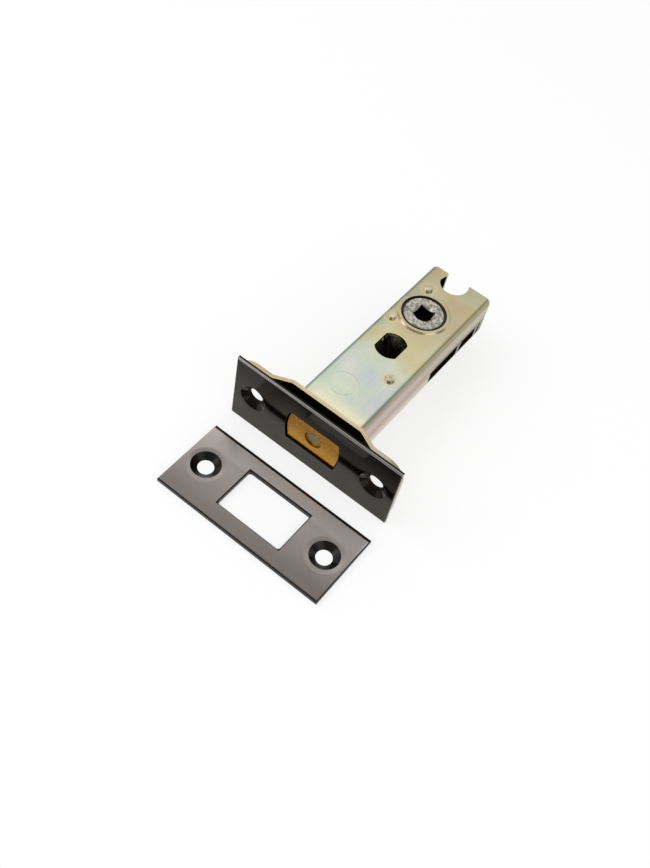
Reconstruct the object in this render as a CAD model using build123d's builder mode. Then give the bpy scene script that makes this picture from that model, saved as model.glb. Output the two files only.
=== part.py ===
from build123d import *
import os
from math import asin, atan2, cos, dist, pi, radians, sin, sqrt

# Tubular deadbolt with a quarter-turn follower, and the strike plate that its bolt enters.
# Millimetres. The origin is the centre of the outer forend's front face, on the bolt's axis.
# +X runs along the forend, +Y into the door along the case, and +Z along the spindle.
# It lies on its side, on the forend's long edge, with the bolt drawn in.

# Forend plates and their screws
forend_length = 57.0
forend_width = 25.0
forend_thickness = 1.2
plate_edge_round = 0.4
screw_end_distance = 7.0
screw_hole_diameter = 4.9
countersink_diameter = 9.0
countersink_angle = 110.0
inner_forend_thickness = 1.2
inner_corner_radius = 6.0
dish_depth = 2.6
dish_flat_length = 23.6
dish_slope_length = 5.4
dish_bend_radius = 1.5

# Strike plate, lying flat in front of the forend
strike_length = 57.0
strike_width = 25.0
strike_thickness = 1.6
strike_distance = 7.7
strike_offset = 0.9
strike_edge_round = 0.6
strike_opening_length = 22.0
strike_opening_width = 14.3
strike_opening_radius = 0.9
strike_opening_bevel = 0.3

# Bolt
bolt_width = 18.6
bolt_thickness = 11.5
bolt_end_radius = 19.0
bolt_corner_round = 0.5
bolt_length = 24.0
bolt_recess = 0.6
bolt_edge_bevel = 0.3
bolt_throw = 12.0
bolt_gap_in_forend = 0.15
bolt_gap_above = 0.55
bolt_gap_beside = 0.5
stud_diameter = 4.8
stud_recess = 0.5
stud_seat_diameter = 5.8
stud_seat_depth = 0.6
tenon_diameter = 3.6
tenon_head_height = 0.6

# Case of two folded half-shells
sheet = 1.2
bend_radius = 2.0
end_bend_radius = 1.4
case_end = 77.0
seam_below_axis = 0.5
corner_relief = 0.4
backset = 56.0
spindle_offset = -1.4
collar_width = 1.3
collar_height = 0.5
fixing_to_spindle = 17.5
fixing_hole_diameter = 10.0
fixing_hole_width = 7.7
notch_diameter = 9.2
notch_slot_width = 8.2
side_slot_start = 45.0
side_slot_end = 73.6
side_slot_depth = 4.7
locating_tab_places = (61.4, 71.7)
locating_tab_diameter = 2.4
locating_tab_stem = 1.6
staked_tab_offset = 5.5
staked_tab_width = 4.0
staked_head_spread = 0.5
staked_head_height = 0.6
tab_clearance = 0.1

# Case rivets: place across, place behind the forend's face, shank diameter
rivets = {
    "front_case_rivet": (5.7, 28.0, 2.4),
    "middle_case_rivet": (-7.9, 48.2, 1.9),
    "rear_case_rivet": (-6.2, 65.7, 2.4),
}
rivet_head_spread = 0.3
rivet_head_height = 0.7

# Follower and its bushes
spindle_square = 5.2
quarter_turn = 90.0
disc_diameter = 12.6
disc_rise = 0.5
disc_edge_bevel = 0.3
lead_in_diameter = 6.9
lead_in_depth = 0.9
bush_wall = 0.75
bush_wall_gap = 0.05
bush_flange_reach = 0.45
bush_flange_thickness = 0.7
bush_set_back = 0.25
thrust_flange_reach = 1.15
thrust_flange_thickness = 1.05
foot_flange_reach = 0.3
core_step = 0.9
arm_depth = 5.0
arm_neck_width = 1.4
arm_tip_diameter = 2.0
arm_play = 0.3

# Bolt tail and toggle spring
tail_thickness = 1.8
tail_flange_thickness = 2.0
tail_flange_width = 15.0
tail_flange_top = 3.0
tail_slide_gap = 0.2
tail_hub_gap = 0.4
tail_rivet_gap = 0.2
lug_thickness = 1.5
lug_reach = 6.2
window_gap = 0.15
left_rail_end = 46.5
spring_wire = 0.8
spring_coil_place = (-0.3, 30.4)
spring_coil_radius = 2.2
spring_pitch = 0.9
spring_eye_turn = 290.0
spring_eye_gap = 0.05
spring_tail_gap = 0.25
peg_diameter = 2.0
peg_offset = 7.0

# Sizes that follow
case_width = bolt_width + 2 * (bolt_gap_beside + sheet)
case_thickness = bolt_thickness + 2 * (bolt_gap_above + sheet)
half_case = case_thickness / 2
roof = half_case - sheet
seam = -seam_below_axis
inner_forend_front = forend_thickness + dish_depth
case_front = inner_forend_front + inner_forend_thickness
fixing_backset = backset - fixing_to_spindle
notch_backset = backset + fixing_to_spindle
screw_pitch = forend_length - 2 * screw_end_distance
strike_screw_pitch = strike_length - 2 * screw_end_distance
bolt_back = bolt_recess + bolt_length
tail_bottom = -roof + bush_flange_thickness + tail_slide_gap
tail_top = tail_bottom + tail_thickness
tail_flange_back = bolt_back + tail_flange_thickness
arm_bottom = tail_top + arm_play
arm_top = arm_bottom + arm_depth
half_turn = radians(quarter_turn / 2)
arm_reach = bolt_throw / 2 / sin(half_turn)
arm_tip_y = backset + bolt_throw / 2
lug_gap = arm_tip_diameter / 2 + arm_play
tail_end = arm_tip_y + lug_gap + lug_thickness
bush_bore = disc_diameter + 2 * bush_wall_gap
bush_diameter = bush_bore + 2 * bush_wall
bush_flange_diameter = bush_diameter + 2 * bush_flange_reach
follower_hole_diameter = bush_diameter + 2 * bush_wall_gap
collar_diameter = follower_hole_diameter + 2 * collar_width
thrust_flange_diameter = disc_diameter + 2 * thrust_flange_reach
foot_flange_diameter = disc_diameter + 2 * foot_flange_reach
core_diameter = disc_diameter - 2 * core_step
surface = -forend_width / 2
spindle_axis = Axis((spindle_offset, backset, 0), (0, 0, 1))
spindle_section = Plane((spindle_offset, backset, 0), x_dir=(1, 0, 0), z_dir=(0, -1, 0))


def across(depth):
    """Plane across the case at this distance behind the forend's face, seen from the front."""
    return Plane.XZ.offset(-depth)


def bolt_outline(gap=0.0):
    """The bolt's section: flat above and below, bowed at both ends, grown by the gap."""
    half_height = bolt_thickness / 2 + gap
    half_width = bolt_width / 2 + gap
    corner = half_width - bolt_end_radius + sqrt(bolt_end_radius**2 - half_height**2)
    with BuildSketch() as outline:
        with BuildLine():
            Line((-corner, half_height), (corner, half_height))
            ThreePointArc((corner, half_height), (half_width, 0), (corner, -half_height))
            Line((corner, -half_height), (-corner, -half_height))
            ThreePointArc((-corner, -half_height), (-half_width, 0), (-corner, half_height))
        make_face()
    return outline.sketch


def case_holes():
    """What goes right through both half-shells, as a sketch seen from above."""
    with BuildSketch() as holes:
        with Locations((spindle_offset, fixing_backset)):
            Circle(fixing_hole_diameter / 2)
            Rectangle(fixing_hole_width, fixing_hole_diameter, mode=Mode.INTERSECT)
        with Locations((spindle_offset, backset)):
            Circle(follower_hole_diameter / 2)
        with Locations((spindle_offset, notch_backset)):
            Circle(notch_diameter / 2)
            Rectangle(notch_slot_width, case_end, align=(Align.CENTER, Align.MIN))
        for place_x, place_y, diameter in rivets.values():
            with Locations((place_x, place_y)):
                Circle(diameter / 2)
    return holes.sketch


def folded_shell(side, edge_height):
    """A tray folded from sheet: a flat face, two long flanges and an end flange, open in front.

    The side is +1 for the shell above the seam and -1 for the one below it.
    """
    depth = half_case - side * edge_height
    long_side = case_end - case_front
    with BuildPart() as shell:
        middle = (edge_height + side * half_case) / 2
        with BuildSketch(across(case_front)):
            with Locations((0, middle)):
                Rectangle(case_width, depth)
        extrude(amount=-long_side)
        flat_face = shell.faces().sort_by(Axis.Z)[-1 if side > 0 else 0]
        bends = flat_face.edges().group_by(Axis.Y)
        fillet(bends[1], bend_radius)
        flat_face = shell.faces().sort_by(Axis.Z)[-1 if side > 0 else 0]
        fillet(flat_face.edges().sort_by(Axis.Y)[-1], end_bend_radius)
        seam_face = shell.faces().sort_by(Axis.Z)[0 if side > 0 else -1]
        front_face = shell.faces().sort_by(Axis.Y)[0]
        offset(amount=-sheet, openings=[seam_face, front_face])

        # The folded corners at the tail are left open by a narrow relief
        relief_x = case_width / 2 - sheet - corner_relief / 2
        with BuildSketch(across(case_end)):
            with Locations((relief_x, edge_height), (-relief_x, edge_height)):
                Rectangle(corner_relief, 2 * (depth - bend_radius))
        extrude(amount=sheet, mode=Mode.SUBTRACT)

        # Tabs in front go through the inner forend and are staked over its face
        tab_z = side * (half_case - sheet / 2)
        with BuildSketch(across(case_front)):
            with Locations((staked_tab_offset, tab_z), (-staked_tab_offset, tab_z)):
                Rectangle(staked_tab_width, sheet)
        extrude(amount=inner_forend_thickness)
        with BuildSketch(across(inner_forend_front)):
            with Locations((staked_tab_offset, tab_z), (-staked_tab_offset, tab_z)):
                Rectangle(staked_tab_width + 2 * staked_head_spread, sheet)
        extrude(amount=staked_head_height)

        # The rim round the follower is pressed outwards
        with BuildSketch(spindle_section):
            with BuildLine():
                Polyline(
                    (follower_hole_diameter / 2, side * roof),
                    (follower_hole_diameter / 2, side * (half_case + collar_height)),
                    (collar_diameter / 2 - collar_height, side * (half_case + collar_height)),
                    (collar_diameter / 2, side * half_case),
                    (collar_diameter / 2, side * roof),
                    close=True,
                )
            make_face()
        revolve(axis=spindle_axis)
        with BuildSketch(Plane.XY.offset(edge_height)):
            add(case_holes())
        extrude(amount=side * case_thickness, mode=Mode.SUBTRACT)
    return shell.part


def locating_tab_outline(growth=0.0):
    """The round head of a locating tab, as a sketch seen from the side."""
    for place_y in locating_tab_places:
        with Locations((place_y, seam - locating_tab_diameter / 8)):
            Circle(locating_tab_diameter / 2 + growth)


def wrap_heading(from_place, from_radius, to_place, to_radius):
    """Heading of the straight wire that leaves one circle and joins the next, both on its left."""
    reach = dist(from_place, to_place)
    straight = atan2(to_place[1] - from_place[1], to_place[0] - from_place[0])
    return straight - asin((to_radius - from_radius) / reach)


def wrap_points(place, radius, start, end, start_z, end_z):
    """Points of a wire wound round a place, from one heading to another."""
    steps = round((end - start) / radians(18))
    points = []
    for step in range(steps + 1):
        part_done = step / steps
        heading = start + (end - start) * part_done
        x = place[0] + radius * sin(heading)
        y = place[1] - radius * cos(heading)
        points.append((x, y, start_z + (end_z - start_z) * part_done))
    return points


def with_leg_points(points):
    """The same points, with three more on each straight leg, which keep it straight."""
    filled = [points[0]]
    for point in points[1:]:
        before = filled[-1]
        if dist(before, point) > 2 * spring_wire:
            for share in (0.25, 0.5, 0.75):
                filled.append(tuple(a + (b - a) * share for a, b in zip(before, point)))
        filled.append(point)
    return filled


# Outer forend: a flat plate with a close opening for the bolt, countersunk right through
with BuildPart() as outer_forend:
    with BuildSketch(across(0)):
        Rectangle(forend_length, forend_width)
    extrude(amount=-forend_thickness)
    front_edges = outer_forend.faces().sort_by(Axis.Y)[0].edges()
    fillet(front_edges, plate_edge_round)
    with BuildSketch(across(0)):
        add(bolt_outline(bolt_gap_in_forend))
    extrude(amount=-forend_thickness, mode=Mode.SUBTRACT)
    with Locations(across(0)):
        with GridLocations(screw_pitch, 1, 2, 1):
            CounterSinkHole(
                screw_hole_diameter / 2,
                countersink_diameter / 2,
                counter_sink_angle=countersink_angle,
            )

# Inner forend: its ears lie on the outer one and share its countersinks, and its middle is
# set back to carry the case
with BuildPart() as inner_forend:
    half_flat = dish_flat_length / 2
    half_length = forend_length / 2
    slope_end = half_flat + dish_slope_length
    with BuildSketch(Plane.XY.offset(surface)):
        with BuildLine():
            FilletPolyline(
                (-half_length, forend_thickness),
                (-slope_end, forend_thickness),
                (-half_flat, inner_forend_front),
                (half_flat, inner_forend_front),
                (slope_end, forend_thickness),
                (half_length, forend_thickness),
                radius=dish_bend_radius,
            )
            offset(amount=inner_forend_thickness, side=Side.LEFT)
        make_face()
    extrude(amount=forend_width)
    with BuildSketch(across(0)):
        RectangleRounded(forend_length, forend_width, inner_corner_radius)
    extrude(amount=-case_front - sheet, mode=Mode.INTERSECT)
    notch_height = half_case + tab_clearance
    with BuildSketch(across(0)):
        add(bolt_outline(bolt_gap_above))
        with GridLocations(2 * staked_tab_offset, 1, 2, 1):
            Rectangle(staked_tab_width + tab_clearance, 2 * notch_height)
    extrude(amount=-case_front, mode=Mode.SUBTRACT)
    with Locations(across(0)):
        with GridLocations(screw_pitch, 1, 2, 1):
            CounterSinkHole(
                screw_hole_diameter / 2,
                countersink_diameter / 2,
                counter_sink_angle=countersink_angle,
            )

# Upper half-shell: deep, with half-round seats for the cover's tabs in its long flanges
with BuildPart() as case_shell:
    add(folded_shell(1, seam))
    with BuildSketch(Plane.YZ):
        locating_tab_outline(tab_clearance)
    extrude(amount=case_width, both=True, mode=Mode.SUBTRACT)

# Lower half-shell: shallow, with its flanges cut away beside the follower but for two tabs
with BuildPart() as case_cover:
    add(folded_shell(-1, seam))
    slot_middle = (side_slot_start + side_slot_end) / 2
    with BuildSketch(Plane.YZ):
        with Locations((slot_middle, seam)):
            Rectangle(side_slot_end - side_slot_start, 2 * side_slot_depth)
    extrude(amount=case_width, both=True, mode=Mode.SUBTRACT)
    with BuildSketch(Plane.YZ.offset(case_width / 2)):
        for place_y in locating_tab_places:
            with Locations((place_y, seam)):
                Rectangle(
                    locating_tab_stem,
                    side_slot_depth,
                    align=(Align.CENTER, Align.MAX),
                )
        locating_tab_outline()
    tabs = extrude(amount=-sheet)
    mirror(tabs, about=Plane.YZ)

# Case rivets: plain shanks through both shells, with a low domed head on each face
rivet_parts = {}
for rivet_name, (place_x, place_y, diameter) in rivets.items():
    rivet_axis = Axis((place_x, place_y, 0), (0, 0, 1))
    with BuildPart() as rivet:
        with BuildSketch(Plane((place_x, place_y, -half_case))):
            Circle(diameter / 2)
        extrude(amount=case_thickness)
        head_radius = diameter / 2 + rivet_head_spread
        for side in (1, -1):
            with BuildSketch(Plane((place_x, place_y, side * half_case))):
                Circle(head_radius)
            extrude(amount=side * rivet_head_height)
        rims = rivet.edges().filter_by(GeomType.CIRCLE).sort_by(Axis.Z)
        fillet([rims[0], rims[-1]], rivet_head_height / 2)
    rivet_parts[rivet_name] = rivet

# Follower: a cast hub turned by the spindle, with the arm that moves the bolt's tail
foot_bottom = -roof + bush_flange_thickness + bush_wall_gap
foot_top = tail_top - tail_slide_gap
thrust_top = roof - bush_flange_thickness - bush_wall_gap
disc_top = half_case + disc_rise
with BuildPart() as follower:
    with BuildSketch(spindle_section):
        with BuildLine():
            Polyline(
                (0, -disc_top),
                (disc_diameter / 2 - disc_edge_bevel, -disc_top),
                (disc_diameter / 2, -disc_top + disc_edge_bevel),
                (disc_diameter / 2, foot_bottom),
                (foot_flange_diameter / 2, foot_bottom),
                (foot_flange_diameter / 2, foot_top),
                (core_diameter / 2, foot_top),
                (core_diameter / 2, thrust_top - thrust_flange_thickness),
                (thrust_flange_diameter / 2, thrust_top - thrust_flange_thickness),
                (thrust_flange_diameter / 2, thrust_top),
                (disc_diameter / 2, thrust_top),
                (disc_diameter / 2, disc_top - disc_edge_bevel),
                (disc_diameter / 2 - disc_edge_bevel, disc_top),
                (0, disc_top),
                close=True,
            )
        make_face()
    revolve(axis=spindle_axis)
    arm_plane = Plane(
        origin=(spindle_offset, backset, arm_bottom),
        x_dir=(cos(half_turn), sin(half_turn), 0),
        z_dir=(0, 0, 1),
    )
    with BuildSketch(arm_plane):
        Rectangle(arm_reach, arm_neck_width, align=(Align.MIN, Align.CENTER))
        with Locations((arm_reach, 0)):
            Circle(arm_tip_diameter / 2)
    extrude(amount=arm_depth)
    with BuildSketch(Plane((spindle_offset, backset, 0))):
        Rectangle(spindle_square, spindle_square)
    extrude(amount=disc_top, both=True, mode=Mode.SUBTRACT)
    for side in (1, -1):
        with BuildSketch(spindle_section):
            with BuildLine():
                Polyline(
                    (0, side * disc_top),
                    (lead_in_diameter / 2, side * disc_top),
                    (lead_in_diameter / 2 - lead_in_depth, side * (disc_top - lead_in_depth)),
                    (0, side * (disc_top - lead_in_depth)),
                    close=True,
                )
            make_face()
        revolve(axis=spindle_axis, mode=Mode.SUBTRACT)

# Follower bushes: flanged rings in both shells, seen as the black ring round the disc
bush_parts = {}
for bush_name, side in (("upper_follower_bush", 1), ("lower_follower_bush", -1)):
    with BuildPart() as bush:
        with BuildSketch(spindle_section):
            with BuildLine():
                Polyline(
                    (bush_bore / 2, side * (roof - bush_flange_thickness)),
                    (bush_flange_diameter / 2, side * (roof - bush_flange_thickness)),
                    (bush_flange_diameter / 2, side * roof),
                    (bush_diameter / 2, side * roof),
                    (bush_diameter / 2, side * (half_case - bush_set_back)),
                    (bush_bore / 2, side * (half_case - bush_set_back)),
                    close=True,
                )
            make_face()
        revolve(axis=spindle_axis)
    bush_parts[bush_name] = bush

# Bolt head: a brass bar with the case's bowed section, bored for its stud
with BuildPart() as bolt_head:
    with BuildSketch(across(bolt_recess)) as bolt_section:
        add(bolt_outline())
        fillet(bolt_section.vertices(), bolt_corner_round)
    extrude(amount=-bolt_length)
    chamfer(bolt_head.faces().sort_by(Axis.Y)[0].edges(), bolt_edge_bevel)
    with BuildSketch(across(bolt_recess)):
        Circle(stud_diameter / 2)
    extrude(amount=-bolt_length, mode=Mode.SUBTRACT)
    with BuildSketch(across(bolt_recess)):
        Circle(stud_seat_diameter / 2)
    extrude(amount=-stud_seat_depth, mode=Mode.SUBTRACT)

# Bolt stud: a steel pin that shows in the bolt's face and is headed over behind the tail
with BuildPart() as bolt_stud:
    with BuildSketch(across(bolt_recess + stud_recess)):
        Circle(stud_diameter / 2)
    extrude(amount=stud_recess - bolt_length)
    with BuildSketch(across(bolt_back)):
        Circle(tenon_diameter / 2)
    extrude(amount=-tail_flange_thickness)
    with BuildSketch(across(tail_flange_back)):
        Circle(stud_diameter / 2)
    extrude(amount=-tenon_head_height)
    chamfer(bolt_stud.faces().sort_by(Axis.Y)[-1].edges(), tenon_head_height / 2)

# Bolt tail: a plate on two rails that leaves the fixing hole and the follower's foot clear
rivet_x, rivet_y, rivet_diameter = rivets["front_case_rivet"]
hub_cut_radius = foot_flange_diameter / 2 + tail_hub_gap
window_half = fixing_hole_width / 2 + window_gap
window_start = fixing_backset - fixing_hole_diameter / 2 - window_gap
peg_y = rivet_y + bolt_throw / 2
with BuildPart() as bolt_tail:
    with BuildSketch(Plane.XY.offset(tail_bottom)) as tail_plan:
        with Locations((0, bolt_back)):
            Rectangle(bolt_width, tail_end - bolt_back, align=(Align.CENTER, Align.MIN))
        with Locations((spindle_offset, window_start)):
            Rectangle(
                2 * window_half,
                tail_end - window_start,
                align=(Align.CENTER, Align.MIN),
                mode=Mode.SUBTRACT,
            )
        with Locations((spindle_offset, left_rail_end)):
            Rectangle(
                bolt_width,
                tail_end - left_rail_end,
                align=(Align.MAX, Align.MIN),
                mode=Mode.SUBTRACT,
            )
        with Locations((spindle_offset, backset + bolt_throw / 2)):
            SlotCenterToCenter(bolt_throw, 2 * hub_cut_radius, rotation=90, mode=Mode.SUBTRACT)
        with Locations((rivet_x, rivet_y + bolt_throw / 2)):
            SlotCenterToCenter(
                bolt_throw,
                rivet_diameter + 2 * tail_rivet_gap,
                rotation=90,
                mode=Mode.SUBTRACT,
            )
        with Locations((-peg_offset, peg_y)):
            Circle(peg_diameter / 2, mode=Mode.SUBTRACT)
    extrude(amount=tail_thickness)
    with BuildSketch(across(bolt_back)) as tail_flange:
        with Locations((0, tail_bottom)):
            Rectangle(
                tail_flange_width,
                tail_flange_top - tail_bottom,
                align=(Align.CENTER, Align.MIN),
            )
        fillet(tail_flange.vertices().group_by(Axis.Z)[-1], tail_flange_thickness)
        Circle(tenon_diameter / 2, mode=Mode.SUBTRACT)
    extrude(amount=-tail_flange_thickness)
    lug_offset = lug_gap + lug_thickness / 2
    with BuildSketch(Plane.XY.offset(tail_top)):
        lug_width = bolt_width / 2 - lug_reach - spindle_offset
        edge_x = bolt_width / 2
        with Locations((edge_x, arm_tip_y - lug_offset), (edge_x, arm_tip_y + lug_offset)):
            Rectangle(lug_width, lug_thickness, align=(Align.MAX, Align.CENTER))
    extrude(amount=arm_top - tail_top - tail_slide_gap)

# Spring peg: pressed into the tail's left rail
with BuildPart() as spring_peg:
    with BuildSketch(Plane((-peg_offset, peg_y, tail_bottom))):
        Circle(peg_diameter / 2)
    extrude(amount=roof - tail_slide_gap - tail_bottom)

# Toggle spring: an eye on the front rivet, a coil of about one turn, an eye on the peg
eye_radius_fixed = rivet_diameter / 2 + spring_wire / 2 + spring_eye_gap
eye_radius_moving = peg_diameter / 2 + spring_wire / 2 + spring_eye_gap
wire_bottom = tail_flange_top + spring_tail_gap + spring_wire / 2
fixed_eye = (rivet_x, rivet_y)
moving_eye = (-peg_offset, peg_y)
leg_in = wrap_heading(fixed_eye, eye_radius_fixed, spring_coil_place, spring_coil_radius)
leg_out = wrap_heading(spring_coil_place, spring_coil_radius, moving_eye, eye_radius_moving)
eye_turn = radians(spring_eye_turn)
coil_turn = (leg_out - leg_in) % (2 * pi) + 2 * pi
coil_rise = spring_pitch * coil_turn / (2 * pi)
wire_top = wire_bottom + coil_rise
wire_points = wrap_points(
    fixed_eye,
    eye_radius_fixed,
    leg_in - eye_turn,
    leg_in,
    wire_bottom,
    wire_bottom,
)
wire_points += wrap_points(
    spring_coil_place,
    spring_coil_radius,
    leg_in,
    leg_in + coil_turn,
    wire_bottom,
    wire_top,
)
wire_points += wrap_points(
    moving_eye,
    eye_radius_moving,
    leg_out,
    leg_out + eye_turn,
    wire_top,
    wire_top,
)
with BuildPart() as toggle_spring:
    with BuildLine() as wire_path:
        Spline(*with_leg_points(wire_points))
    with BuildSketch(Plane(origin=wire_path.line @ 0, z_dir=wire_path.line % 0)):
        Circle(spring_wire / 2)
    sweep(path=wire_path.line)

# Strike plate: flat, with softened edges, lying on the surface that carries the forend
with BuildPart() as strike_plate:
    strike_middle = -strike_distance - strike_width / 2
    strike_top = surface + strike_thickness
    with BuildSketch(Plane((strike_offset, strike_middle, surface))):
        Rectangle(strike_length, strike_width)
    extrude(amount=strike_thickness)
    fillet(strike_plate.faces().sort_by(Axis.Z)[-1].edges(), strike_edge_round)
    with BuildSketch(Plane((strike_offset, strike_middle, surface))):
        RectangleRounded(strike_opening_length, strike_opening_width, strike_opening_radius)
    extrude(amount=strike_thickness, mode=Mode.SUBTRACT)
    opening_edges = strike_plate.faces().sort_by(Axis.Z)[-1].inner_wires()[0].edges()
    chamfer(opening_edges, strike_opening_bevel)
    with Locations(Plane((strike_offset, strike_middle, strike_top))):
        with GridLocations(strike_screw_pitch, 1, 2, 1):
            CounterSinkHole(
                screw_hole_diameter / 2,
                countersink_diameter / 2,
                counter_sink_angle=countersink_angle,
            )

pieces = {
    "outer_forend": outer_forend,
    "inner_forend": inner_forend,
    "case_shell": case_shell,
    "case_cover": case_cover,
    **rivet_parts,
    "follower": follower,
    **bush_parts,
    "bolt_head": bolt_head,
    "bolt_stud": bolt_stud,
    "bolt_tail": bolt_tail,
    "spring_peg": spring_peg,
    "toggle_spring": toggle_spring,
    "strike_plate": strike_plate,
}
os.makedirs("parts", exist_ok=True)
for piece_name, piece in pieces.items():
    piece.part.label = piece_name
    export_step(piece.part, f"parts/{piece_name}.step")
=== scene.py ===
import bpy
import math
from mathutils import Matrix, Vector


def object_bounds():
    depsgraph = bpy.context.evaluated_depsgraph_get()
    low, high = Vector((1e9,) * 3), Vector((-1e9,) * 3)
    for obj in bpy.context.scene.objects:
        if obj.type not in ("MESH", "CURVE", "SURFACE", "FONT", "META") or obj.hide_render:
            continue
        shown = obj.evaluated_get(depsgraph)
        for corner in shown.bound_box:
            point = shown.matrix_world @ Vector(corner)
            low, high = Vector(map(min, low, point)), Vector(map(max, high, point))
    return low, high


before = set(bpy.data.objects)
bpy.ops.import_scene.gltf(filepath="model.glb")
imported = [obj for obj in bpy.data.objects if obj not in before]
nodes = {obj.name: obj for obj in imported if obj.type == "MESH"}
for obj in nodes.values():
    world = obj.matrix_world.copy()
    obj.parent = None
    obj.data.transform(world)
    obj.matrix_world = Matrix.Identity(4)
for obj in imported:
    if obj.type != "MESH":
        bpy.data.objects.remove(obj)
cadLow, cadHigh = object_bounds()
print("frame loaded:", len(nodes), "nodes")

# Camera, as solved from the corners of the two plates and the edges of the case: angles in
# degrees, places in metres, lens and sensor in millimetres
cameraValues = {
    "azimuth": 25.86,
    "elevation": 54.14,
    "roll": 14.43,
    "shiftAlong": (-0.0038117, -0.0020467),
    "distance": 0.2768778,
    "lens": 41.0,
    "sensor": 36,
    "clip": (0.01, 20),
}


def makeCamera(values):
    azimuth = math.radians(values["azimuth"])
    elevation = math.radians(values["elevation"])
    roll = math.radians(values["roll"])
    back = Vector((
        math.sin(azimuth) * math.cos(elevation),
        -math.cos(azimuth) * math.cos(elevation),
        math.sin(elevation),
    ))
    levelRight = Vector((math.cos(azimuth), math.sin(azimuth), 0))
    levelUp = back.cross(levelRight)
    right = levelRight * math.cos(roll) + levelUp * math.sin(roll)
    up = back.cross(right)
    offsetX, offsetY = values["shiftAlong"]
    place = back * values["distance"] - right * offsetX - up * offsetY
    camera = bpy.data.objects.new("camera", bpy.data.cameras.new("camera"))
    camera.data.lens = values["lens"]
    camera.data.sensor_width = values["sensor"]
    camera.data.clip_start, camera.data.clip_end = values["clip"]
    turn = Matrix((right, up, back)).transposed()
    camera.matrix_world = Matrix.Translation(place) @ turn.to_4x4()
    bpy.context.scene.collection.objects.link(camera)
    bpy.context.scene.camera = camera


makeCamera(cameraValues)
print("camera ready")


# Colours are written as they look, in sRGB hex, and turned linear here
def linear(hexColour):
    channels = [int(hexColour[i:i + 2], 16) / 255 for i in (1, 3, 5)]
    bent = [c / 12.92 if c <= 0.04045 else ((c + 0.055) / 1.055) ** 2.4 for c in channels]
    return (*bent, 1)


def grey(value):
    return (value, value, value, 1)


# Adds a node and gives one of its outputs, or all of them for None. Inputs are plain values
# or other nodes' outputs, in the order of the sockets or under their names or numbers. Stops
# are a ramp's pairs of place and colour, and the rest are the node's settings.
def addNode(tree, kind, inputs=(), output=0, stops=(), **settings):
    node = tree.nodes.new("ShaderNode" + kind)
    for key, value in settings.items():
        setattr(node, key, value)
    for key, value in inputs.items() if isinstance(inputs, dict) else enumerate(inputs):
        if isinstance(value, bpy.types.NodeSocket):
            tree.links.new(value, node.inputs[key])
        else:
            node.inputs[key].default_value = value
    if stops:
        elements = node.color_ramp.elements
        while len(elements) < len(stops):
            elements.new(0.5)
        for element, (place, colour) in zip(elements, stops):
            element.position = place
            element.color = linear(colour) if isinstance(colour, str) else grey(colour)
    return node.outputs if output is None else node.outputs[output]


# An empty material, its tree, the place on the object in metres, and what masks are made
# from, which is the place's X, Y and Z to begin with
def startMaterial(name):
    material = bpy.data.materials.new(name)
    material.use_nodes = True
    tree = material.node_tree
    place = addNode(tree, "TexCoord", output="Object")
    sources = dict(addNode(tree, "SeparateXYZ", [place], None).items())
    return material, tree, place, sources


# How far a place is outside a rectangle, given by its centre and half its sides, or inside
# it when below zero: the larger of the two distances from its sides
def fromSides(tree, sources, centre, half):
    reaches = []
    for axis, middle, side in zip("XY", centre, half):
        off = addNode(tree, "Math", [sources[axis], middle], operation="SUBTRACT")
        off = addNode(tree, "Math", [off], operation="ABSOLUTE")
        reaches.append(addNode(tree, "Math", [off, side], operation="SUBTRACT"))
    return addNode(tree, "Math", reaches, operation="MAXIMUM")


# Distance from the nearest of some straight axes: the place is flattened along them first
def fromAxes(tree, place, flatten, centres):
    flat = addNode(tree, "VectorMath", [place, flatten], operation="MULTIPLY")
    nearest = None
    for centre in centres:
        reach = addNode(tree, "VectorMath", [flat, centre], "Value", operation="DISTANCE")
        if nearest:
            reach = addNode(tree, "Math", [nearest, reach], operation="MINIMUM")
        nearest = reach
    return nearest


# The highest of some masks. Each is the product of its sources' own masks, and has for each
# source the value where that is nought and the value where it is full.
def maskWhere(tree, sources, *masks):
    highest = 0.0
    for limits in masks:
        product = 1.0
        for name, (nought, full) in limits.items():
            part = addNode(tree, "MapRange", [sources[name], nought, full])
            product = addNode(tree, "Math", [product, part], operation="MULTIPLY")
        highest = addNode(tree, "Math", [highest, product], operation="MAXIMUM")
    return highest


# Lays coats over a colour in turn. Each has its share, which may be a mask, its tone and how
# it blends. A mix of colours has its share in socket 0 and the two colours in 6 and 7.
def layCoats(tree, colour, *coats):
    for share, tone, blend in coats:
        top = linear(tone) if isinstance(tone, str) else tone
        colour = addNode(tree, "Mix", {0: share, 6: colour, 7: top}, 2,
                         data_type="RGBA", blend_type=blend)
    return colour


# Gives a material's shader its colour, roughness and metallic value, and as bump its relief,
# whose depth in metres is that of a relief of 1
def linkShader(tree, colour, rough, relief, depth, values):
    bump = addNode(tree, "Bump", {
        "Height": relief, "Strength": values["bump"], "Distance": depth,
    })
    inputs = tree.nodes["Principled BSDF"].inputs
    tree.links.new(colour, inputs["Base Color"])
    tree.links.new(rough, inputs["Roughness"])
    tree.links.new(bump, inputs["Normal"])
    inputs["Metallic"].default_value = values["metallic"]


# What the two nickel plates share. Dust specks are about 0.1 mm in life and are drawn 0.35 mm
# wide, and turning marks are closer in life and are drawn 0.5 mm apart, so that both show.
nickelValues = {
    "cloudDetail": 3,
    "speckSize": 0.00035, "speckSpan": (0.45, 0.75),
    "markPitch": 0.0005, "markHeight": 0.12, "markEnd": (0.0044, 0.0046),
    "dimpleSpan": (0.0040, 0.0060),
    "waviness": 0.00002, "bump": 1,
    "outlines": {},
}


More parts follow.
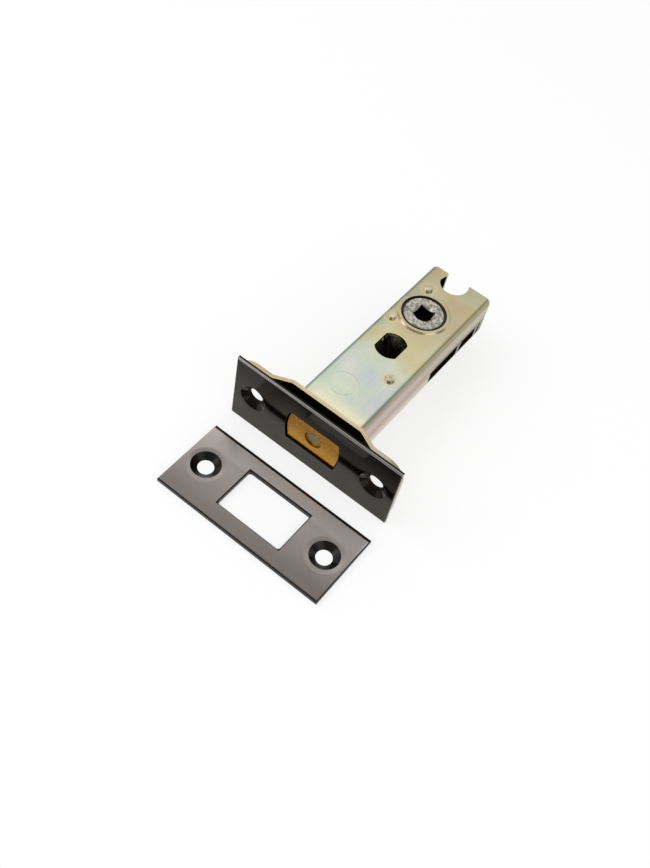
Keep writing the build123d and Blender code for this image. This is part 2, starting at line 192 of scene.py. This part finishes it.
# Polished black nickel over brass: a thin dark plate, whose faintly warm reflection wavers
# where the sheet was buffed by hand, with turned countersinks painted darker than the flat as
# shade.
def blackNickel(name, plateValues):
    values = {**nickelValues, **plateValues}
    material, tree, place, sources = startMaterial(name)
    hole = fromAxes(tree, place, values["flatten"], values["holes"])
    sources["hole"] = hole
    for outline, (centre, half) in values["outlines"].items():
        sources[outline] = fromSides(tree, sources, centre, half)
    cloud = addNode(tree, "TexNoise", {
        "Vector": place, "Scale": 1 / values["cloudSize"], "Detail": values["cloudDetail"],
    })
    colour = layCoats(
        tree, addNode(tree, "ValToRGB", [cloud], stops=values["plate"]),
        # Painted shade: the plate is darkened towards one side, over the upper part of the
        # forend and the near side of the strike
        (maskWhere(tree, sources, values["shiftWhere"]), values["shift"], "MULTIPLY"),
        # Painted highlight: a band along one edge is painted lighter
        (maskWhere(tree, sources, values["highlightWhere"]), values["highlight"], "MIX"),
        # Painted shade: the countersinks and the rolled-over edges are painted dark
        (maskWhere(tree, sources, *values["darkWhere"]), values["dark"], "MIX"),
    )
    specks = addNode(tree, "TexNoise", {"Vector": place, "Scale": 1 / values["speckSize"]})
    rough = addNode(tree, "MapRange", [specks, *values["speckSpan"], *values["roughness"]])
    # Turning marks: the sine of the distance from the hole's axis, inside the countersink alone
    wave = addNode(tree, "Math", [hole, 2 * math.pi / values["markPitch"]], operation="MULTIPLY")
    wave = addNode(tree, "Math", [wave], operation="SINE")
    inside = addNode(tree, "MapRange", [hole, *values["markEnd"], values["markHeight"], 0])
    marks = addNode(tree, "Math", [wave, inside], operation="MULTIPLY")
    # The sheet sinks softly towards each hole
    sink = -values["dimple"] / values["waviness"]
    dimple = addNode(tree, "MapRange", [hole, *values["dimpleSpan"], sink, 0],
                     interpolation_type="SMOOTHSTEP")
    relief = addNode(tree, "Math", [cloud, marks], operation="ADD")
    relief = addNode(tree, "Math", [relief, dimple], operation="ADD")
    linkShader(tree, colour, rough, relief, values["waviness"], values)
    return material


forendNickel = blackNickel("black_nickel_forend", {
    "cloudSize": 0.009, "plate": [(0.3, "#383630"), (0.7, "#3f3c36")],
    # Painted shade darkens the upper part of the forend
    "shift": "#aeaeac", "shiftWhere": {"Z": (-0.004, 0.009)},
    # Painted highlight along the forend's top edge
    "highlight": "#b4b0ae", "highlightWhere": {"Z": (0.01205, 0.0123), "Y": (0.0007, 0.0004)},
    # Painted shade darkens the countersinks
    "dark": "#2b2824", "darkWhere": [{"hole": (0.0046, 0.00445)}],
    "roughness": (0.08, 0.14), "dimple": 0.00003, "metallic": 1,
    "flatten": (1, 0, 1), "holes": [(-0.0215, 0, 0), (0.0215, 0, 0)],
})
# Painted sheen: the strike is the same black nickel as the forend, but its plate colours are
# pale grey, standing in for the bright reflection on its upturned face
strikeNickel = blackNickel("black_nickel_strike_painted_sheen", {
    "cloudSize": 0.012, "plate": [(0.3, "#bcb4b0"), (0.7, "#c8c0bc")],
    # Painted shade darkens the strike towards its near side
    "shift": "#bfbcb9", "shiftWhere": {"Y": (-0.0095, -0.0300)},
    # Painted highlight over the strike's far left corner
    "highlight": "#f8f0ec", "highlightWhere": {"X": (-0.022, -0.015), "Y": (-0.0150, -0.0105)},
    # Painted shade darkens the countersinks and the rims of the plate and of its opening
    "dark": "#24211f",
    "darkWhere": [
        {"hole": (0.0046, 0.00445)},
        {"plate": (-0.00045, -0.0002)},
        {"opening": (0.00045, 0.00025)},
    ],
    "roughness": (0.24, 0.27), "dimple": 0.0002, "metallic": 0.75,
    "flatten": (1, 1, 0), "holes": [(-0.0206, -0.0202, 0), (0.0224, -0.0202, 0)],
    # Centre and half sides of the plate, less 0.8 mm of its far side, and of its opening
    "outlines": {
        "plate": ((0.0009, -0.0206), (0.0285, 0.0121)),
        "opening": ((0.0009, -0.0202), (0.011, 0.00715)),
    },
})
print("nickel ready")


# Yellow chromate over zinc plating: an iridescent film, cream in front, grey-green behind that
# and beige at the tail, coppery on the long flanges and yellow round each rivet.
def yellowZinc(name, values):
    material, tree, place, sources = startMaterial(name)
    for axis in "XZ":
        sources["off" + axis] = addNode(tree, "Math", [sources[axis]], operation="ABSOLUTE")
    sources["rivet"] = fromAxes(tree, place, (1, 1, 0), values["rivets"])
    sources["screw"] = fromAxes(tree, place, (1, 0, 1), values["screws"])
    ring = fromAxes(tree, place, (1, 1, 0), [values["ringCentre"]])
    ring = addNode(tree, "Math", [ring, values["ringRadius"]], operation="SUBTRACT")
    sources["ring"] = addNode(tree, "Math", [ring], operation="ABSOLUTE")
    # Along the case the film's colour follows the place, and drifts a little from it
    along = addNode(tree, "MapRange", [sources["Y"], *values["alongSpan"]])
    drift = addNode(tree, "TexNoise", {"Vector": place, "Scale": 1 / values["driftSize"]})
    drift = addNode(tree, "Math", [drift, values["drift"]], operation="MULTIPLY")
    drifted = addNode(tree, "Math", [along, drift], operation="ADD")
    # Interference tints lie in soft patches, nearly as wide as the case, that wander over it
    film = addNode(tree, "TexNoise", {
        "Vector": place, "Scale": 1 / values["filmSize"], "Distortion": values["filmWander"],
    })
    # The long flanges are coppery, most of all beside the seam, with painted shade above the
    # open slot
    upFlank = addNode(tree, "MapRange", [sources["Z"], *values["flankSpan"]])
    flank = layCoats(
        tree, addNode(tree, "ValToRGB", [upFlank], stops=values["flank"]),
        (1, addNode(tree, "ValToRGB", [along], stops=values["flankTint"]), "MULTIPLY"),
        (maskWhere(tree, sources, values["slotShadeWhere"]), values["slotShade"], "MIX"),
    )
    across = addNode(tree, "MapRange", [sources["X"], *values["acrossSpan"]])
    stain = maskWhere(tree, sources, values["stainWhere"])
    stain = addNode(tree, "Math", [stain, values["stainShare"]], operation="MULTIPLY")
    # Painted shade inside the case, between the forends and in the screw holes
    insideShade = maskWhere(tree, sources, *values["insideWhere"])
    colour = layCoats(
        tree, addNode(tree, "ValToRGB", [drifted], stops=values["along"]),
        (values["filmShare"], addNode(tree, "ValToRGB", [film], stops=values["film"]),
         "MULTIPLY"),
        (maskWhere(tree, sources, values["flankWhere"]), flank, "MIX"),
        # Painted shade on the bends: they are painted bluer and darker, with a dark line along
        # the right bend
        (maskWhere(tree, sources, values["bendWhere"]),
         addNode(tree, "ValToRGB", [across], stops=values["across"]), "MULTIPLY"),
        (stain, values["stain"], "MIX"),
        (insideShade, values["inside"], "MIX"),
    )
    # Scratches run along the case, 0.1 mm wide in life and drawn 0.3 mm wide
    stretched = addNode(tree, "Mapping", {"Vector": place, "Scale": values["scratchScale"]})
    scratch = addNode(tree, "TexNoise", {"Vector": stretched, "Scale": 1})
    rough = addNode(tree, "MapRange", [scratch, *values["scratchSpan"], *values["roughness"]])
    darkInside = addNode(tree, "Math", [insideShade, values["darkInsideRoughness"]], operation="MULTIPLY")
    rough = addNode(tree, "Math", [rough, darkInside], operation="ADD")
    scratch = addNode(tree, "Math", [scratch, values["scratchDepth"]], operation="MULTIPLY")
    # A plain ring, pressed 0.1 mm deep
    pressed = maskWhere(tree, sources, values["ringWhere"])
    pressed = addNode(tree, "Math", [pressed, values["ringDepth"]], operation="MULTIPLY")
    relief = addNode(tree, "Math", [scratch, pressed], operation="SUBTRACT")
    linkShader(tree, colour, rough, relief, values["relief"], values)
    return material


caseZinc = yellowZinc("yellow_chromate_zinc", {
    "alongSpan": (0.0, 0.077, -0.05, 0.95),
    "along": [
        (0.026, "#cfbea6"), (0.065, "#e0d0ac"), (0.104, "#f6efd0"), (0.182, "#e6e6d0"),
        (0.26, "#e0e0d0"), (0.338, "#dedfd6"), (0.429, "#d4d8c4"), (0.52, "#d2ceae"),
        (0.597, "#cec8a8"), (0.675, "#c6bea2"), (0.753, "#bfb8a0"), (0.857, "#c4b99c"),
        (0.961, "#c0b798"),
    ],
    "driftSize": 0.03, "drift": 0.1,
    "filmSize": 0.017, "filmWander": 0.5, "filmShare": 0.65,
    "film": [
        (0.3, "#ffe8e0"), (0.42, "#fff6d6"), (0.5, "#ffffff"), (0.6, "#e4f4f0"),
        (0.7, "#dee6ff"), (0.82, "#ffe6f0"),
    ],
    # Painted shade over the two bends of the case top
    "acrossSpan": (-0.011, 0.011), "bendWhere": {"Y": (0.0050, 0.0056)},
    "across": [
        (0.0, "#a6b4ba"), (0.04, "#a2b0b5"), (0.075, "#f0f4f6"), (0.2, "#ffffff"),
        (0.925, "#ffffff"), (0.95, "#b0b4a2"), (0.965, "#f0f0e8"), (1.0, "#ffffff"),
    ],
    "flankSpan": (-0.0075, 0.0075),
    "flankWhere": {"offX": (0.0099, 0.0107), "Y": (0.0050, 0.0056)},
    "flank": [
        (0.1, "#d3c3b8"), (0.23, "#d3c3b8"), (0.37, "#c4a898"), (0.45, "#b08b78"),
        (0.57, "#a68d7d"), (0.7, "#bba698"), (0.83, "#b5a499"),
    ],
    "flankTint": [(0.3, "#ffffff"), (0.45, "#f2fbe8"), (0.8, "#eefade")],
    # Painted shade along the flange's lower rim above the open slot
    "slotShade": "#54452f", "slotShadeWhere": {"Z": (0.0011, 0.0007), "Y": (0.046, 0.048)},
    # A yellow stain round each rivet, which fades over 2 mm
    "rivets": [(0.0057, 0.028, 0), (-0.0079, 0.0482, 0), (-0.0062, 0.0657, 0)],
    "stain": "#dec899", "stainShare": 0.6, "stainWhere": {"rivet": (0.0036, 0.0015)},
    # Painted shade: inside the case, between the two forends and in their screw holes the film
    # is painted dark and made rougher
    "screws": [(-0.0215, 0, 0), (0.0215, 0, 0)],
    "inside": "#2a2018", "darkInsideRoughness": 0.3,
    "insideWhere": [
        {"offX": (0.0099, 0.00985), "offZ": (0.0064, 0.00635), "Y": (0.0762, 0.0761)},
        {"Y": (0.00395, 0.00385), "Z": (0.0124, 0.0123), "offX": (0.0155, 0.014)},
        {"screw": (0.0029, 0.0028)},
    ],
    "ringCentre": (-0.0032, 0.0171, 0), "ringRadius": 0.0042, "ringDepth": 0.35,
    "ringWhere": {"ring": (0.0005, 0.0), "Z": (0.0073, 0.0074)},
    "scratchScale": (3300, 160, 3300), "scratchSpan": (0.35, 0.65), "scratchDepth": 0.02,
    "roughness": (0.22, 0.28), "metallic": 1,
    "relief": 0.00008, "bump": 1,
})
print("zinc ready")

# What the other metals share
metalValues = {"patchDetail": 4, "patchRoughness": 0.6, "grainSpan": (0.35, 0.65), "metallic": 1}


# Bare and worn metals, and nylon: patches of two or more tones over a fine grain. On the
# rivets it is the same zinc plating, worn through to bright steel where the heads were set.
def plainMetal(name, ownValues):
    values = {**metalValues, **ownValues}
    material, tree, place, sources = startMaterial(name)
    patch = addNode(tree, "TexNoise", {
        "Vector": place, "Scale": 1 / values["patchSize"], "Detail": values["patchDetail"],
        "Roughness": values["patchRoughness"],
    })
    colour = addNode(tree, "ValToRGB", [patch], stops=values["colours"])
    grain = addNode(tree, "TexNoise", {"Vector": place, "Scale": 1 / values["grainSize"]})
    rough = addNode(tree, "MapRange", [grain, *values["grainSpan"], *values["roughness"]])
    # Painted shade: the follower's square hole is painted black below its lead-in
    if "boreShade" in values:
        sources["bore"] = fromAxes(tree, place, (1, 1, 0), [values["bore"]])
        sources["offZ"] = addNode(tree, "Math", [sources["Z"]], operation="ABSOLUTE")
        boreShaded = maskWhere(tree, sources, values["boreShadeWhere"])
        colour = layCoats(tree, colour, (boreShaded, values["boreShade"], "MIX"))
    linkShader(tree, colour, rough, grain, values["grainSize"] / 10, values)
    return material


rivetSteel = plainMetal("worn_zinc_rivet", {
    "patchSize": 0.0015,
    "colours": [(0.35, "#a6a587"), (0.5, "#c9bf9f"), (0.7, "#e6dfc8")],
    "grainSize": 0.0004, "roughness": (0.2, 0.32), "bump": 0.3,
})
# Drawn brass that has toned to a golden brown, with redder spots where it has tarnished.
boltBrass = plainMetal("toned_drawn_brass", {
    "patchSize": 0.0022,
    "colours": [(0.25, "#ac7226"), (0.42, "#b98228"), (0.6, "#bf8a2c"), (0.85, "#c69636")],
    "grainSize": 0.0005, "roughness": (0.24, 0.36), "bump": 0.2,
})
# A hardened steel pin with its end ground flat and gone olive with oil.
studSteel = plainMetal("oiled_hardened_steel", {
    "patchSize": 0.0015,
    "colours": [(0.3, "#7e7149"), (0.7, "#a09266")],
    "grainSize": 0.0004, "roughness": (0.35, 0.5), "bump": 0.3,
})
# Die-cast zinc straight from the mould: light grey with a crystalline speckle.
castZinc = plainMetal("die_cast_zinc", {
    "patchSize": 0.0007,
    "colours": [(0.35, "#7d7970"), (0.5, "#bdb8ad"), (0.62, "#e2ddd0")],
    "grainSize": 0.0005, "roughness": (0.35, 0.55), "bump": 0.8,
    # Painted shade in the follower's square hole
    "bore": (-0.0014, 0.056, 0), "boreShade": "#1c1a15",
    "boreShadeWhere": {"bore": (0.0040, 0.0038), "offZ": (0.0073, 0.0069)},
})
# Pressed steel under an oil film, inside the case.
plainSteel = plainMetal("oiled_pressed_steel", {
    "patchSize": 0.004,
    "colours": [(0.3, "#3e3a33"), (0.7, "#4f4a42")],
    "grainSize": 0.0006, "roughness": (0.35, 0.5), "bump": 0.2,
})
# Drawn spring wire: grey, smooth and faintly lustrous.
springSteel = plainMetal("drawn_spring_wire", {
    "patchSize": 0.003,
    "colours": [(0.3, "#4c4c50"), (0.7, "#68686c")],
    "grainSize": 0.0005, "roughness": (0.3, 0.4), "bump": 0.2,
})
# Moulded black nylon: a soft sheen over a faintly uneven surface.
blackNylon = plainMetal("moulded_black_nylon", {
    "patchSize": 0.003,
    "colours": [(0.3, "#15130f"), (0.7, "#1e1b16")],
    "grainSize": 0.0006, "roughness": (0.4, 0.55), "bump": 0.3, "metallic": 0,
})
print("other materials ready")

finishes = {
    "outer_forend": forendNickel,
    "strike_plate": strikeNickel,
    "inner_forend": caseZinc,
    "case_shell": caseZinc,
    "case_cover": caseZinc,
    "front_case_rivet": rivetSteel,
    "middle_case_rivet": rivetSteel,
    "rear_case_rivet": rivetSteel,
    "follower": castZinc,
    "upper_follower_bush": blackNylon,
    "lower_follower_bush": blackNylon,
    "bolt_head": boltBrass,
    "bolt_stud": studSteel,
    "bolt_tail": plainSteel,
    "spring_peg": plainSteel,
    "toggle_spring": springSteel,
}
for nodeName, material in finishes.items():
    for slot in nodes[nodeName].material_slots:
        slot.material = material
print("materials given")

# Floor: a plain white sheet that the object lies on
floorValues = {
    "height": cadLow.z, "reach": 3.0, "colour": "#ffffff", "roughness": 0.9, "glow": 0.7,
}
floorMesh = bpy.data.meshes.new("floor")
reach, height = floorValues["reach"], floorValues["height"]
floorMesh.from_pydata(
    [(-reach, -reach, height), (reach, -reach, height), (reach, reach, height),
     (-reach, reach, height)],
    [], [(0, 1, 2, 3)],
)
floor = bpy.data.objects.new("floor", floorMesh)
bpy.context.scene.collection.objects.link(floor)


# Two values of 0 or 1: whether a ray comes from the camera, and whether it comes from there
# or off a shiny or clear surface
def seenRay(tree):
    rays = addNode(tree, "LightPath", output=None)
    camera = rays["Is Camera Ray"]
    seen = addNode(tree, "Math", [camera, rays["Is Glossy Ray"]], operation="MAXIMUM")
    seen = addNode(tree, "Math", [seen, rays["Is Transmission Ray"]], operation="MAXIMUM")
    return camera, seen


# White paper: matt, with a share of its white glowing where it is seen
floorMaterial, floorTree = startMaterial("white_paper_floor")[:2]
floorShader = floorTree.nodes["Principled BSDF"]
floorShader.inputs["Base Color"].default_value = linear(floorValues["colour"])
floorShader.inputs["Roughness"].default_value = floorValues["roughness"]
floorSeen = seenRay(floorTree)[1]
share = addNode(floorTree, "Math", [floorSeen, floorValues["glow"]], operation="MULTIPLY")
glow = addNode(floorTree, "Emission", {"Color": linear(floorValues["colour"]), "Strength": 1})
both = addNode(floorTree, "MixShader", [share, floorShader.outputs["BSDF"], glow])
floorTree.links.new(both, floorTree.nodes["Material Output"].inputs["Surface"])
floorMesh.materials.append(floorMaterial)

# World: white where it is seen, and a plain grey light. Shiny metal sees a white room behind
# the object and a dim one in front of it: the ramp runs along the direction that is given.
worldValues = {
    "light": 0.8,
    "towards": (-0.3, 0.9, -0.3),
    "room": [(0.5, 0.3), (0.588, 0.4), (0.632, 1.0), (0.8, 0.95), (1.0, 0.9)],
    "seen": "#ffffff",
}
world = bpy.data.worlds.new("studio")
bpy.context.scene.world = world
world.use_nodes = True
worldTree = world.node_tree
cameraRay, worldSeen = seenRay(worldTree)
heading = addNode(worldTree, "TexCoord", output="Generated")
facing = addNode(worldTree, "VectorMath", [heading, worldValues["towards"]], "Value",
                 operation="DOT_PRODUCT")
facing = addNode(worldTree, "MapRange", [facing, -1, 1])
room = addNode(worldTree, "ValToRGB", [facing], stops=worldValues["room"])
room = layCoats(worldTree, room, (cameraRay, worldValues["seen"], "MIX"))
worldColour = layCoats(worldTree, grey(worldValues["light"]), (worldSeen, room, "MIX"))
worldTree.links.new(worldColour, worldTree.nodes["Background"].inputs["Color"])

# Soft boxes: place, point they face, size across and along, and power
lampValues = {
    "overhead": {"place": (-0.44, -0.2, 0.5), "faces": (0, 0.02, 0), "size": (0.5, 0.4),
                 "power": 1.2},
    "side": {"place": (0.5, -0.1, 0.35), "faces": (0, 0.03, 0), "size": (0.4, 0.4),
             "power": 0.5},
}
for lampName, values in lampValues.items():
    data = bpy.data.lights.new(lampName, "AREA")
    data.shape = "RECTANGLE"
    data.size, data.size_y = values["size"]
    data.energy = values["power"]
    lamp = bpy.data.objects.new(lampName, data)
    aim = Vector(values["faces"]) - Vector(values["place"])
    lamp.rotation_euler = aim.to_track_quat("-Z", "Y").to_euler()
    lamp.location = values["place"]
    bpy.context.scene.collection.objects.link(lamp)
print("lights ready")

bpy.context.scene.view_settings.view_transform = "Standard"
